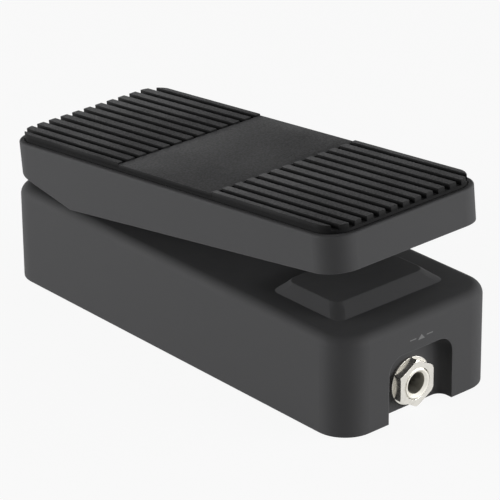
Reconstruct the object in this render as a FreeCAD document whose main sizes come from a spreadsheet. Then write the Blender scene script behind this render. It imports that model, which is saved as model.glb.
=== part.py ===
import FreeCAD, Part
import math
import os
import re

import Sketcher
from FreeCAD import Placement, Rotation, Vector

# Compact passive volume pedal.
# +Y points to the toe end, +X to the player's right, +Z up.
# The origin is on the floor, midway between the ends and the sides.
# The treadle is drawn level, with its top face at Z = 0 above the pedal's middle,
# and is then tilted toe-up and lifted into place as a whole.

SIZES = [
    # housing
    ("body_length", 150.0),
    ("body_width", 59.2),
    ("body_height", 30.1),
    ("body_corner", 9.8),
    ("body_edge_round", 3.1),
    ("body_wall", 2.5),
    ("body_roof", 2.5),
    ("foot_reach", 0.8),
    ("foot_radius", 5.0),
    ("foot_seat", 0.6),
    ("plate_thick", 1.5),
    ("boss_inset", 8.0),
    ("boss_radius", 4.0),
    ("cover_screw_radius", 1.5),
    ("cover_screw_reach", 9.0),
    # archway round each socket, open at the bottom
    ("arch_half", 12.2),
    ("arch_height", 20.0),
    ("arch_depth", 4.8),
    ("arch_corner", 5.2),
    ("arch_back_round", 3.0),
    # sockets
    ("socket_height", 8.1),
    ("plug_bore", 3.25),
    ("neck_radius", 4.75),
    ("neck_setback", 1.2),
    ("jack_washer_radius", 7.25),
    ("jack_washer_thick", 0.8),
    ("jack_nut_flats", 12.7),
    ("jack_nut_thick", 2.6),
    ("jack_nut_turn", 30.0),
    ("jack_case_half", 7.0),
    ("jack_case_drop", 6.0),
    ("jack_case_rise", 6.5),
    ("jack_case_length", 26.0),
    ("jack_cavity", 3.95),
    # raised pad on the roof, under the toe
    ("pad_inset", 11.8),
    ("pad_length", 28.2),
    ("pad_half", 20.5),
    ("pad_rise", 3.0),
    ("pad_side_slope", 3.6),
    ("pad_toe_slope", 4.7),
    ("pad_heel_slope", 2.8),
    ("pad_corner", 5.0),
    # treadle
    ("tread_tilt", 6.21),
    ("toe_setback", 4.5),
    ("heel_setback", 0.25),
    ("side_setback", 0.35),
    ("tread_corner", 8.5),
    ("tread_top", 2.4),
    ("tread_wall", 2.2),
    ("skirt_toe_depth", 10.75),
    ("knee_lead", 0.36),
    ("knee_depth", 16.6),
    ("skirt_heel_depth", 9.2),
    # rubber mat
    ("mat_inset", 1.75),
    ("mat_gap", 0.25),
    ("mat_seat", 0.6),
    ("mat_proud", 2.5),
    ("mat_corner", 7.0),
    ("band_from_heel", 51.4),
    ("band_from_toe", 51.9),
    ("band_drop", 0.5),
    ("groove_pitch", 4.5),
    ("groove_width", 1.9),
    ("groove_depth", 1.6),
    ("groove_count", 12),
    # pivot
    ("pivot_inset", 30.0),
    ("pivot_rise", 7.4),
    ("pivot_depth", 9.905),
    ("axle_radius", 2.5),
    ("cheek_inner", 13.0),
    ("cheek_thick", 5.0),
    ("cheek_radius", 5.3),
    ("cheek_foot", 7.5),
    ("ear_gap", 0.8),
    ("ear_thick", 5.5),
    ("ear_radius", 5.3),
    ("bush_wall", 1.0),
    ("bush_flange", 0.6),
    ("friction_washer_thick", 0.5),
    ("clip_thick", 0.6),
    ("clip_radius", 4.3),
    ("clip_groove", 2.0),
    ("running_gap", 0.04),
    ("toe_travel", 9.0),
    ("heel_travel", 8.0),
    # stops
    ("toe_stop_place", 47.0),
    ("toe_stop_radius", 5.5),
    ("toe_stop_boss", 4.1),
    ("heel_stop_reach", 17.0),
    ("heel_stop_half", 14.0),
    ("heel_stop_radius", 4.0),
    ("heel_stop_boss", 4.6),
    ("stop_seat", 0.5),
    ("stop_gap", 0.2),
    # gear drive from the treadle to the potentiometer
    ("gear_module", 0.8),
    ("pressure_angle", 25.0),
    ("pinion_teeth", 12),
    ("sector_full_teeth", 69),
    ("sector_cut_teeth", 6),
    ("gear_lean", 37.5),
    ("tooth_slack", 0.06),
    ("pinion_half", 2.5),
    ("pinion_hub", 5.0),
    ("sector_half", 1.5),
    ("sector_hub", 6.2),
    ("sector_tab_half", 10.0),
    ("sector_screw_radius", 1.2),
    ("sector_screw_half", 7.0),
    ("lug_thick", 4.0),
    ("lug_drop", 4.6),
    # potentiometer
    ("shaft_radius", 3.0),
    ("pot_radius", 8.5),
    ("pot_depth", 8.0),
    ("pot_neck_radius", 4.0),
    ("pot_neck_length", 6.0),
    ("pot_block_half", 6.5),
    ("pot_block_reach", 10.0),
    ("pot_block_thick", 3.0),
    ("pot_nut_flats", 11.0),
    ("pot_nut_thick", 2.0),
    ("pot_washer_thick", 0.6),
    ("bracket_face", 10.5),
    ("bracket_thick", 1.5),
    ("bracket_half", 11.0),
    ("bracket_flange", 11.5),
    ("bracket_screw_half", 7.5),
    ("bracket_screw_radius", 1.2),
    # terminals and wires
    ("lug_length", 4.0),
    ("lug_width", 2.0),
    ("lug_sheet", 0.6),
    ("lug_half_spread", 4.5),
    ("terminal_pitch", 5.0),
    ("wire_radius", 0.6),
    # small clearances
    ("fit_gap", 0.05),
    ("seat_gap", 0.25),
]

NAMES = [name for name, value in SIZES]
TINY = 1e-4

# Formulas used by more than one piece.
HALF_LENGTH = "(body_length / 2)"
HALF_WIDTH = "(body_width / 2)"
ROOF_TOP = "(foot_reach + body_height)"
ROOF_UNDER = "(foot_reach + body_height - body_roof)"
PLATE_TOP = "(foot_reach + plate_thick)"
ARCH_BACK = "(body_length / 2 - arch_depth)"
ARCH_INNER = "(body_length / 2 - arch_depth - body_wall)"
SOCKET_AXIS = "(foot_reach + socket_height)"
PAD_TOE = "(body_length / 2 - pad_inset)"
PAD_HEEL = "(body_length / 2 - pad_inset - pad_length)"
BOSS_X = "(body_width / 2 - boss_inset)"
BOSS_Y = "(body_length / 2 - 2 * boss_inset)"

TREAD_HALF = "(body_width / 2 - side_setback)"
TREAD_TOE = "(body_length / 2 - toe_setback)"
TREAD_HEEL = "(body_length / 2 - heel_setback)"

PIVOT_Y = "(pivot_inset - body_length / 2)"
PIVOT_Z = "(foot_reach + body_height + pivot_rise)"
# The pivot in the level treadle's own frame, and the height that the treadle's frame gets from it.
PIVOT_V = "(-pivot_depth)"
PIVOT_U = "(%s * cos(tread_tilt) - (pivot_depth - %s * sin(tread_tilt)) * tan(tread_tilt))" % (PIVOT_Y, PIVOT_Y)
TREAD_HEIGHT = "(%s + (pivot_depth - %s * sin(tread_tilt)) / cos(tread_tilt))" % (PIVOT_Z, PIVOT_Y)

GEAR_CENTRES = "(gear_module * (pinion_teeth + sector_full_teeth) / 2)"
POT_Y = "(pivot_inset - body_length / 2 + %s * sin(gear_lean))" % GEAR_CENTRES
POT_Z = "(foot_reach + body_height + pivot_rise - %s * cos(gear_lean))" % GEAR_CENTRES

EAR_INNER = "(cheek_inner + cheek_thick + ear_gap)"
EAR_OUTER = "(cheek_inner + cheek_thick + ear_gap + ear_thick)"
WASHER_INNER = "(cheek_inner + cheek_thick + ear_gap + ear_thick + running_gap)"
CLIP_INNER = "(%s + friction_washer_thick + running_gap)" % WASHER_INNER

ALONG_X = Rotation(Vector(0, 0, 1), Vector(1, 0, 0))
ALONG_Y = Rotation(Vector(0, 0, 1), Vector(0, 1, 0))
AGAINST_Y = Rotation(Vector(0, 0, 1), Vector(0, -1, 0))
ALONG_Z = Rotation()


# ---------------------------------------------------------------- the sheet and its formulas

document = FreeCAD.newDocument("volume_pedal")
sheet = document.addObject("Spreadsheet::Sheet", "sizes")
for row, (name, value) in enumerate(SIZES, start=1):
    sheet.set("A%d" % row, name)
    sheet.set("B%d" % row, str(value))
    sheet.setAlias("B%d" % row, name)
document.recompute()


def linked(formula):
    """Turn each size name in a formula into a reference to its cell."""
    return re.sub(r"[a-z_]+", lambda word: "sizes." + word[0] if word[0] in NAMES else word[0], formula)


def size(formula):
    """The present value of a formula."""
    return float(sheet.evalExpression(linked(formula)))


def bind(item, prop, formula):
    item.setExpression(prop, linked(formula))


# ---------------------------------------------------------------- helpers for bodies and sketches

def new_body(name):
    body = document.addObject("PartDesign::Body", name)
    body.Label = name
    return body


def new_sketch(body, plane, offset="0"):
    """A sketch on one of the body's own origin planes, offset is its X, Y or Z."""
    sketch = body.newObject("Sketcher::SketchObject", body.Name + "_outline")
    support = [item for item in body.Origin.OriginFeatures if item.Role == plane + "_Plane"][0]
    sketch.AttachmentSupport = (support, [""])
    sketch.MapMode = "FlatFace"
    sign = "-" if plane == "XZ" else ""
    bind(sketch, "AttachmentOffset.Base.z", sign + "(" + offset + ")")
    return sketch


def polygon(sketch, corners):
    """A closed outline whose corners are pairs of formulas."""
    first = sketch.GeometryCount
    points = [Vector(size(across), size(along), 0) for across, along in corners]
    for here, there in zip(points, points[1:] + points[:1]):
        sketch.addGeometry(Part.LineSegment(here, there), False)
    count = len(points)
    for index in range(count):
        after = (index + 1) % count
        sketch.addConstraint(Sketcher.Constraint("Coincident", first + index, 2, first + after, 1))
    for index, (across, along) in enumerate(corners):
        place_point(sketch, first + index, 1, across, along)


def place_point(sketch, geometry, end, across, along):
    """Hold one point of a sketch at two formulas from the sketch's origin."""
    for kind, formula in (("DistanceX", across), ("DistanceY", along)):
        rule = sketch.addConstraint(Sketcher.Constraint(kind, -1, 1, geometry, end, size(formula)))
        bind(sketch, "Constraints[%d]" % rule, formula)


def rectangle(sketch, low_x, high_x, low_y, high_y):
    polygon(sketch, [(low_x, low_y), (high_x, low_y), (high_x, high_y), (low_x, high_y)])


def rounded_rectangle(sketch, low_x, high_x, low_y, high_y, radius):
    """Four lines held at their ends, and four quarter arcs that close the corners."""
    low_x, high_x, low_y, high_y = ["(%s)" % side for side in (low_x, high_x, low_y, high_y)]
    inset = " %s (" + radius + ")"
    more, less = inset % "+", inset % "-"
    ends = [
        ((low_x + more, low_y), (high_x + less, low_y)),
        ((high_x, low_y + more), (high_x, high_y + less)),
        ((high_x + less, high_y), (low_x + more, high_y)),
        ((low_x, high_y + less), (low_x, low_y + more)),
    ]
    centres = [(high_x + less, low_y + more), (high_x + less, high_y + less),
               (low_x + more, high_y + less), (low_x + more, low_y + more)]
    for start, end in ends:
        points = [Vector(size(across), size(along), 0) for across, along in (start, end)]
        line = sketch.addGeometry(Part.LineSegment(*points), False)
        place_point(sketch, line, 1, *start)
        place_point(sketch, line, 2, *end)
    for corner, (across, along) in enumerate(centres):
        round_part = Part.Circle(Vector(size(across), size(along), 0), Vector(0, 0, 1), size(radius))
        first_angle = (corner - 1) * math.pi / 2
        arc = sketch.addGeometry(Part.ArcOfCircle(round_part, first_angle, first_angle + math.pi / 2), False)
        sketch.addConstraint(Sketcher.Constraint("Coincident", arc, 1, corner, 2))
        sketch.addConstraint(Sketcher.Constraint("Coincident", arc, 2, (corner + 1) % 4, 1))
        rule = sketch.addConstraint(Sketcher.Constraint("Radius", arc, size(radius)))
        bind(sketch, "Constraints[%d]" % rule, radius)


def circle(sketch, across, along, radius):
    centre = Vector(size(across), size(along), 0)
    index = sketch.addGeometry(Part.Circle(centre, Vector(0, 0, 1), size(radius)), False)
    place_point(sketch, index, 3, across, along)
    rule = sketch.addConstraint(Sketcher.Constraint("Radius", index, size(radius)))
    bind(sketch, "Constraints[%d]" % rule, radius)


def pad(body, sketch, length, reverse=False):
    feature = body.newObject("PartDesign::Pad", body.Name + "_pad")
    feature.Profile = sketch
    bind(feature, "Length", length)
    feature.Reversed = reverse
    document.recompute()
    return feature


def pocket(body, sketch, length, reverse=False):
    """Cut a sketch out of the body, and make sure that it really cut something."""
    before = body.Shape.Volume
    feature = body.newObject("PartDesign::Pocket", body.Name + "_pocket")
    feature.Profile = sketch
    bind(feature, "Length", length)
    feature.Reversed = reverse
    document.recompute()
    if body.Shape.Volume > before - TINY:
        raise RuntimeError(feature.Name + " cuts nothing")
    return feature


def fillet(body, radius, wanted):
    """Round those edges of the body's tip that wanted() accepts."""
    base = body.Tip
    names = ["Edge%d" % number for number, edge in enumerate(base.Shape.Edges, start=1) if wanted(edge.BoundBox)]
    feature = body.newObject("PartDesign::Fillet", body.Name + "_fillet")
    feature.Base = (base, names)
    bind(feature, "Radius", radius)
    document.recompute()
    if not names or feature.Shape.isNull():
        raise RuntimeError(feature.Name + " rounds nothing")
    return feature


def upright(box):
    return box.XLength < TINY and box.YLength < TINY


def near(value, formula):
    return abs(value - size(formula)) < 0.01


# ---------------------------------------------------------------- helpers for plain solids

def place(item, at, turn):
    """Give an item its direction, and bind its position to three formulas."""
    item.Placement = Placement(Vector(), turn)
    for letter, formula in zip("xyz", at):
        bind(item, "Placement.Base." + letter, formula)


def cylinder(name, radius, height, at, turn=ALONG_Z):
    item = document.addObject("Part::Cylinder", name)
    bind(item, "Radius", radius)
    bind(item, "Height", height)
    place(item, at, turn)
    return item


def cone(name, low_radius, high_radius, height, at, turn=ALONG_Z):
    item = document.addObject("Part::Cone", name)
    bind(item, "Radius1", low_radius)
    bind(item, "Radius2", high_radius)
    bind(item, "Height", height)
    place(item, at, turn)
    return item


def block(name, lengths, at):
    item = document.addObject("Part::Box", name)
    for prop, formula in zip(("Length", "Width", "Height"), lengths):
        bind(item, prop, formula)
    place(item, at, ALONG_Z)
    return item


def hexagon(name, flats, height, at, turn):
    item = document.addObject("Part::Prism", name)
    item.Polygon = 6
    bind(item, "Circumradius", "(" + flats + ") / 2 / cos(30)")
    bind(item, "Height", height)
    place(item, at, turn)
    return item


def union(name, parts):
    item = document.addObject("Part::MultiFuse", name)
    item.Shapes = parts
    return item


def cut(name, base, tool):
    item = document.addObject("Part::Cut", name)
    item.Base = base
    item.Tool = tool
    return item


def common(name, parts):
    item = document.addObject("Part::MultiCommon", name)
    item.Shapes = parts
    return item


def group(name, parts):
    """Identical or matching solids that share one node."""
    item = document.addObject("Part::Compound", name)
    item.Links = parts
    return item


def ring(name, outer, inner, height, at, turn=ALONG_Z):
    solid = cylinder(name + "_solid", outer, height, at, turn)
    hole = cylinder(name + "_hole", inner, height, at, turn)
    return cut(name, solid, hole)


def chamfered_nut(name, flats, bore, height, at, turn):
    """A hexagon nut with its outer corners turned off at 30 degrees."""
    corner = "(" + flats + ") / 2 / cos(30)"
    prism = hexagon(name + "_prism", flats, height, at, turn)
    flare = "(" + corner + ") + (" + height + ") / tan(30)"
    turned = cone(name + "_turned", flare, "(" + flats + ") / 2 * 1.09", height, at, turn)
    blank = common(name + "_blank", [prism, turned])
    return cut(name, blank, cylinder(name + "_bore", bore, height, at, turn))


def on_treadle(item):
    """Tilt and lift a piece that was drawn on the level treadle."""
    item.Placement = Placement(Vector(), Rotation(Vector(1, 0, 0), size("tread_tilt")))
    bind(item, "Placement.Rotation.Angle", "tread_tilt")
    bind(item, "Placement.Base.z", TREAD_HEIGHT)
    return item


def four_corners(x_formula, y_formula):
    return [(a + x_formula, b + y_formula) for a in ("", "-") for b in ("", "-")]


# ---------------------------------------------------------------- housing

def build_body_shell():
    body = new_body("body_shell")
    outline = new_sketch(body, "XY", "foot_reach")
    rounded_rectangle(outline, "-" + HALF_WIDTH, HALF_WIDTH, "-" + HALF_LENGTH, HALF_LENGTH, "body_corner")
    pad(body, outline, "body_height")
    fillet(body, "body_edge_round", lambda box: near(box.ZMin, ROOF_TOP))
    hollow_body(body)
    for sign in ("", "-"):
        add_archway(body, sign)
    add_cover_bosses(body)
    add_toe_pad(body)
    add_pivot_cheeks(body)
    cut_roof(body)
    return body


def hollow_body(body):
    cavity = new_sketch(body, "XY", "foot_reach")
    inner_x = "(body_width / 2 - body_wall)"
    inner_y = "(body_length / 2 - body_wall)"
    rounded_rectangle(cavity, "-" + inner_x, inner_x, "-" + inner_y, inner_y, "body_corner - body_wall")
    pocket(body, cavity, "body_height - body_roof", reverse=True)


def add_archway(body, sign):
    """The recess round one socket, with the wall that carries the socket behind it."""
    backing = new_sketch(body, "XZ", sign + ARCH_INNER)
    wide = "(arch_half + body_wall)"
    rectangle(backing, "-" + wide, wide, "foot_reach", "foot_reach + arch_height + body_wall")
    pad(body, backing, "arch_depth + body_wall / 2", reverse=(sign == ""))
    arch = new_sketch(body, "XZ", sign + HALF_LENGTH)
    rectangle(arch, "-arch_half", "arch_half", "foot_reach", "foot_reach + arch_height")
    pocket(body, arch, "arch_depth", reverse=(sign == ""))
    arch_top = "foot_reach + arch_height"
    back = size(sign + ARCH_BACK)

    def arch_top_corner(box):
        level = box.XLength < TINY and box.ZLength < TINY and near(box.ZMin, arch_top)
        return level and near(abs(box.XMin), "arch_half") and box.YMin * back > 0

    def arch_back_corner(box):
        return upright(box) and near(abs(box.XMin), "arch_half") and abs(box.YMin - back) < 0.01

    fillet(body, "arch_corner", arch_top_corner)
    fillet(body, "arch_back_round", arch_back_corner)
    hole = new_sketch(body, "XZ", sign + ARCH_BACK)
    circle(hole, "0", SOCKET_AXIS, "neck_radius + fit_gap")
    pocket(body, hole, "body_wall", reverse=(sign == ""))


def add_cover_bosses(body):
    bosses = new_sketch(body, "XY", PLATE_TOP)
    for across, along in four_corners(BOSS_X, BOSS_Y):
        circle(bosses, across, along, "boss_radius")
    pad(body, bosses, "body_height - body_roof / 2 - plate_thick")
    holes = new_sketch(body, "XY", PLATE_TOP)
    for across, along in four_corners(BOSS_X, BOSS_Y):
        circle(holes, across, along, "cover_screw_radius + fit_gap")
    pocket(body, holes, "cover_screw_reach + fit_gap", reverse=True)


def add_toe_pad(body):
    """The low raised pad that the toe stop lands on."""
    foot = new_sketch(body, "XY", ROOF_TOP)
    rectangle(foot, "-pad_half", "pad_half", PAD_HEEL, PAD_TOE)
    crown = new_sketch(body, "XY", ROOF_TOP + " + pad_rise")
    narrow = "(pad_half - pad_side_slope)"
    rectangle(crown, "-" + narrow, narrow, PAD_HEEL + " + pad_heel_slope", PAD_TOE + " - pad_toe_slope")
    loft = body.newObject("PartDesign::AdditiveLoft", "toe_pad")
    loft.Profile = foot
    loft.Sections = [crown]
    loft.Ruled = True
    document.recompute()

    def leaning(box):
        return near(box.ZMin, ROOF_TOP) and near(box.ZLength, "pad_rise")

    fillet(body, "pad_corner", leaning)
    fillet(body, "pad_rise / 5", lambda box: near(box.ZMin, ROOF_TOP + " + pad_rise"))


def add_pivot_cheeks(body):
    """Two cheeks on the roof that hold the axle."""
    for start in ("cheek_inner", "-(cheek_inner + cheek_thick)"):
        cheek = new_sketch(body, "YZ", start)
        foot_z = ROOF_TOP + " - body_roof / 2"
        polygon(cheek, [
            (PIVOT_Y + " - cheek_foot", foot_z),
            (PIVOT_Y + " + cheek_foot", foot_z),
            (PIVOT_Y + " + cheek_radius", PIVOT_Z),
            (PIVOT_Y + " - cheek_radius", PIVOT_Z),
        ])
        pad(body, cheek, "cheek_thick")
        crown = new_sketch(body, "YZ", start)
        circle(crown, PIVOT_Y, PIVOT_Z, "cheek_radius")
        pad(body, crown, "cheek_thick")
    bore = new_sketch(body, "YZ", "-(cheek_inner + cheek_thick)")
    circle(bore, PIVOT_Y, PIVOT_Z, "axle_radius + fit_gap / 2")
    pocket(body, bore, "2 * (cheek_inner + cheek_thick)", reverse=True)


def cut_roof(body):
    """The slot for the gear sector, the seats of the heel stops and the bracket's screw holes."""
    slot = new_sketch(body, "XY", ROOF_UNDER)
    half = "(sector_half + 1.2)"
    rectangle(slot, "-" + half, half, PIVOT_Y + " + 1", PIVOT_Y + " + gear_lean / 2")
    pocket(body, slot, "body_roof", reverse=True)
    seats = new_sketch(body, "XY", ROOF_TOP)
    for across in ("-heel_stop_half", "heel_stop_half"):
        circle(seats, across, PIVOT_Y + " - heel_stop_reach", "heel_stop_radius + fit_gap")
    pocket(body, seats, "stop_seat")
    holes = new_sketch(body, "XY", ROOF_UNDER)
    for sign in ("-", "+"):
        along = POT_Y + sign + "bracket_screw_half"
        circle(holes, "bracket_face + bracket_flange / 2", along, "bracket_screw_radius + fit_gap")
    pocket(body, holes, "body_roof * 0.7", reverse=True)


def build_base_plate():
    body = new_body("base_plate")
    edge_x = "(body_width / 2 - body_wall - seat_gap)"
    edge_y = "(body_length / 2 - body_wall - seat_gap)"
    step_x = "(arch_half + body_wall + seat_gap)"
    step_y = "(body_length / 2 - arch_depth - body_wall - seat_gap)"
    outline = new_sketch(body, "XY", "foot_reach")
    quarter = [(edge_x, edge_y), (step_x, edge_y), (step_x, step_y)]
    corners = list(quarter)
    corners += [("-" + x, y) for x, y in reversed(quarter)]
    corners += [("-" + x, "-" + y) for x, y in quarter]
    corners += [(x, "-" + y) for x, y in reversed(quarter)]
    polygon(outline, corners)
    pad(body, outline, "plate_thick")
    fillet(body, "body_corner - body_wall - seat_gap",
           lambda box: upright(box) and near(abs(box.XMin), edge_x))
    holes = new_sketch(body, "XY", "foot_reach")
    for across, along in four_corners(BOSS_X, BOSS_Y):
        circle(holes, across, along, "cover_screw_radius + 2 * fit_gap")
    hole = body.newObject("PartDesign::Hole", "cover_screw_holes")
    hole.Profile = holes
    document.recompute()
    bind(hole, "Diameter", "2 * (cover_screw_radius + 2 * fit_gap)")
    hole.DepthType = "ThroughAll"
    hole.Reversed = True
    hole.HoleCutType = "Countersink"
    hole.HoleCutCustomValues = True
    bind(hole, "HoleCutDiameter", "4 * cover_screw_radius")
    hole.HoleCutCountersinkAngle = 90
    document.recompute()
    seats = new_sketch(body, "XY", "foot_reach")
    for across, along in four_corners("(body_width / 4)", "(body_length / 3.4)"):
        circle(seats, across, along, "foot_radius + fit_gap")
    pocket(body, seats, "foot_seat", reverse=True)
    return body


def build_cover_screws():
    """Countersunk screws that hold the base plate to the four bosses."""
    screws = []
    for number, (across, along) in enumerate(four_corners(BOSS_X, BOSS_Y), start=1):
        name = "cover_screw_%d" % number
        foot = (across, along, "foot_reach")
        head = cone(name + "_head", "2 * cover_screw_radius - 2 * fit_gap", "cover_screw_radius",
                    "cover_screw_radius - 2 * fit_gap", foot)
        shank = cylinder(name + "_shank", "cover_screw_radius", "plate_thick + cover_screw_reach", foot)
        whole = union(name + "_whole", [head, shank])
        socket = hexagon(name + "_socket", "cover_screw_radius * 1.2", "cover_screw_radius * 0.6", foot, ALONG_Z)
        screws.append(cut(name, whole, socket))
    return group("cover_screws", screws)


def build_feet():
    feet = []
    for number, (across, along) in enumerate(four_corners("(body_width / 4)", "(body_length / 3.4)"), start=1):
        feet.append(cylinder("foot_%d" % number, "foot_radius", "foot_reach + foot_seat", (across, along, "0")))
    return group("rubber_feet", feet)


# ---------------------------------------------------------------- sockets

def build_jack(label, sign):
    """One 6.35 mm socket: the case inside, the threaded neck, washer, nut and contacts."""
    outward = ALONG_Y if sign == "" else AGAINST_Y
    inward = AGAINST_Y if sign == "" else ALONG_Y
    inner_wall = ("0", sign + ARCH_INNER, SOCKET_AXIS)
    outer_wall = ("0", sign + ARCH_BACK, SOCKET_AXIS)
    case_end = "(body_length / 2 - arch_depth - body_wall - jack_case_length)"
    case_low = case_end if sign == "" else "-" + ARCH_INNER
    lengths = ("2 * jack_case_half", "jack_case_length", "jack_case_drop + jack_case_rise")
    solid = block(label + "_case_solid", lengths, ("-jack_case_half", case_low, SOCKET_AXIS + " - jack_case_drop"))
    cavity = cylinder(label + "_case_cavity", "jack_cavity", "jack_case_length - 1", inner_wall, inward)
    cut(label + "_jack_case", solid, cavity)

    neck_length = "arch_depth + body_wall - neck_setback"
    ring(label + "_jack_neck", "neck_radius", "plug_bore", neck_length, inner_wall, outward)
    ring(label + "_jack_washer", "jack_washer_radius", "neck_radius + fit_gap", "jack_washer_thick",
         outer_wall, outward)
    seat = ("0", sign + "(" + ARCH_BACK + " + jack_washer_thick)", SOCKET_AXIS)
    turned = outward.multiply(Rotation(Vector(0, 0, 1), size("jack_nut_turn")))
    chamfered_nut(label + "_jack_nut", "jack_nut_flats", "neck_radius + fit_gap", "jack_nut_thick", seat, turned)
    build_contacts(label, sign, case_end)


def build_contacts(label, sign, case_end):
    """Two solder lugs behind the case, and the leaf spring above the plug's path."""
    solids = []
    lug_start = "(" + case_end + " - lug_length)"
    low = lug_start if sign == "" else "-" + case_end
    for number, side in enumerate(("-", ""), start=1):
        across = side + "lug_half_spread - lug_sheet / 2"
        height = "foot_reach + socket_height - jack_case_drop / 2 - lug_width / 2"
        solids.append(block("%s_lug_%d" % (label, number), ("lug_sheet", "lug_length", "lug_width"),
                            (across, low, height)))
    leaf_length = "(jack_case_length / 2)"
    near_end = "(" + case_end + " + 1)"
    low = near_end if sign == "" else "-(" + near_end + " + " + leaf_length + ")"
    leaf_base = ("-lug_sheet", low, SOCKET_AXIS + " + plug_bore + 0.2")
    solids.append(block(label + "_leaf", ("2 * lug_sheet", leaf_length, "lug_sheet / 2"), leaf_base))
    return group(label + "_jack_contacts", solids)


# ---------------------------------------------------------------- treadle

def build_treadle_shell():
    body = new_body("treadle_shell")
    side = new_sketch(body, "YZ", "-" + TREAD_HALF)
    polygon(side, [
        ("-" + TREAD_HEEL, "0"),
        (TREAD_TOE, "0"),
        (TREAD_TOE, "-skirt_toe_depth"),
        (PIVOT_U + " - knee_lead", "-knee_depth"),
        ("-" + TREAD_HEEL, "-skirt_heel_depth"),
    ])
    pad(body, side, "2 * " + TREAD_HALF)
    fillet(body, "tread_corner", upright)
    fillet(body, "tread_top / 4", lambda box: near(box.ZMin, "0"))
    inner_x = "(body_width / 2 - side_setback - tread_wall)"
    inner_toe = "(body_length / 2 - toe_setback - tread_wall)"
    inner_heel = "(body_length / 2 - heel_setback - tread_wall)"
    tray = new_sketch(body, "XY", "-tread_top")
    rounded_rectangle(tray, "-" + inner_x, inner_x, "-" + inner_heel, inner_toe, "tread_corner - tread_wall")
    pocket(body, tray, "knee_depth")
    seat = new_sketch(body, "XY", "0")
    seat_x = "(body_width / 2 - side_setback - mat_inset + mat_gap)"
    rounded_rectangle(seat, "-" + seat_x, seat_x, "-(" + TREAD_HEEL + " - mat_inset + mat_gap)",
                      TREAD_TOE + " - mat_inset + mat_gap", "mat_corner + mat_gap")
    pocket(body, seat, "mat_seat")
    add_treadle_ears(body)
    add_treadle_bosses(body)
    return on_treadle(body)


def add_treadle_ears(body):
    for start in (EAR_INNER, "-" + EAR_OUTER):
        web = new_sketch(body, "YZ", start)
        rectangle(web, PIVOT_U + " - ear_radius", PIVOT_U + " + ear_radius", PIVOT_V, "-tread_top / 2 - mat_seat")
        pad(body, web, "ear_thick")
        crown = new_sketch(body, "YZ", start)
        circle(crown, PIVOT_U, PIVOT_V, "ear_radius")
        pad(body, crown, "ear_thick")
    bore = new_sketch(body, "YZ", "-" + EAR_OUTER)
    circle(bore, PIVOT_U, PIVOT_V, "axle_radius + running_gap + bush_wall + fit_gap / 2")
    pocket(body, bore, "2 * " + EAR_OUTER, reverse=True)


def add_treadle_bosses(body):
    """The lug that the gear sector bolts to, and the bosses of the stops."""
    underside = "-tread_top / 2 - mat_seat"
    lug = new_sketch(body, "YZ", "sector_half")
    rectangle(lug, PIVOT_U + " - sector_tab_half", PIVOT_U + " + sector_tab_half",
              "-(tread_top + lug_drop)", underside)
    pad(body, lug, "lug_thick")
    holes = new_sketch(body, "YZ", "sector_half")
    for sign in (" - ", " + "):
        circle(holes, PIVOT_U + sign + "sector_screw_half", "-(tread_top + lug_drop / 2)",
               "sector_screw_radius + fit_gap")
    pocket(body, holes, "lug_thick", reverse=True)
    toe_boss = new_sketch(body, "XY", underside)
    circle(toe_boss, "0", "toe_stop_place", "toe_stop_radius + 0.5")
    pad(body, toe_boss, "tread_top / 2 - mat_seat + toe_stop_boss", reverse=True)
    heel_bosses = new_sketch(body, "XY", underside)
    for across in ("-heel_stop_half", "heel_stop_half"):
        circle(heel_bosses, across, PIVOT_U + " - heel_stop_reach", "heel_stop_radius + 1")
    pad(body, heel_bosses, "tread_top / 2 - mat_seat + heel_stop_boss", reverse=True)


def build_mat():
    """Rubber mat: ribs along the pedal, broken by a plain band across the middle."""
    body = new_body("treadle_mat")
    edge_x = "(body_width / 2 - side_setback - mat_inset)"
    edge_toe = "(body_length / 2 - toe_setback - mat_inset)"
    edge_heel = "(body_length / 2 - heel_setback - mat_inset)"
    outline = new_sketch(body, "XY", "-mat_seat")
    rounded_rectangle(outline, "-" + edge_x, edge_x, "-" + edge_heel, edge_toe, "mat_corner")
    pad(body, outline, "mat_seat + mat_proud")
    band = new_sketch(body, "XY", "mat_proud")
    band_heel = "(band_from_heel - %s)" % TREAD_HEEL
    band_toe = "(%s - band_from_toe)" % TREAD_TOE
    rectangle(band, "-" + TREAD_HALF, TREAD_HALF, band_heel, band_toe)
    pocket(body, band, "band_drop")
    groove = new_sketch(body, "XY", "mat_proud")
    middle = "(groove_pitch * (groove_count - 1) / 2)"
    low = "-" + middle + " - groove_width / 2"
    high = "-" + middle + " + groove_width / 2"
    rectangle(groove, low, high, "-" + TREAD_HEEL, band_heel)
    rectangle(groove, low, high, band_toe, TREAD_TOE)
    first = pocket(body, groove, "groove_depth")
    pattern = body.newObject("PartDesign::LinearPattern", "grooves")
    pattern.Originals = [first]
    axis = [item for item in body.Origin.OriginFeatures if item.Role == "X_Axis"][0]
    pattern.Direction = (axis, [""])
    bind(pattern, "Length", "groove_pitch * (groove_count - 1)")
    bind(pattern, "Occurrences", "groove_count")
    body.Tip = pattern
    document.recompute()
    return on_treadle(body)


def build_toe_stop():
    """Rubber disc under the treadle, as thick as lets it reach the pad at the end of the travel."""
    lean = "(tread_tilt - toe_travel)"
    reach = "(toe_stop_place + toe_stop_radius - %s)" % PIVOT_U
    above_pivot = "((pad_rise + stop_gap - pivot_rise - %s * sin%s) / cos%s)" % (reach, lean, lean)
    low = "(%s + %s)" % (PIVOT_V, above_pivot)
    disc = cylinder("toe_stop_disc", "toe_stop_radius", "-(tread_top + toe_stop_boss) - " + low,
                    ("0", "toe_stop_place", low))
    return on_treadle(group("toe_stop", [disc]))


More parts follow.
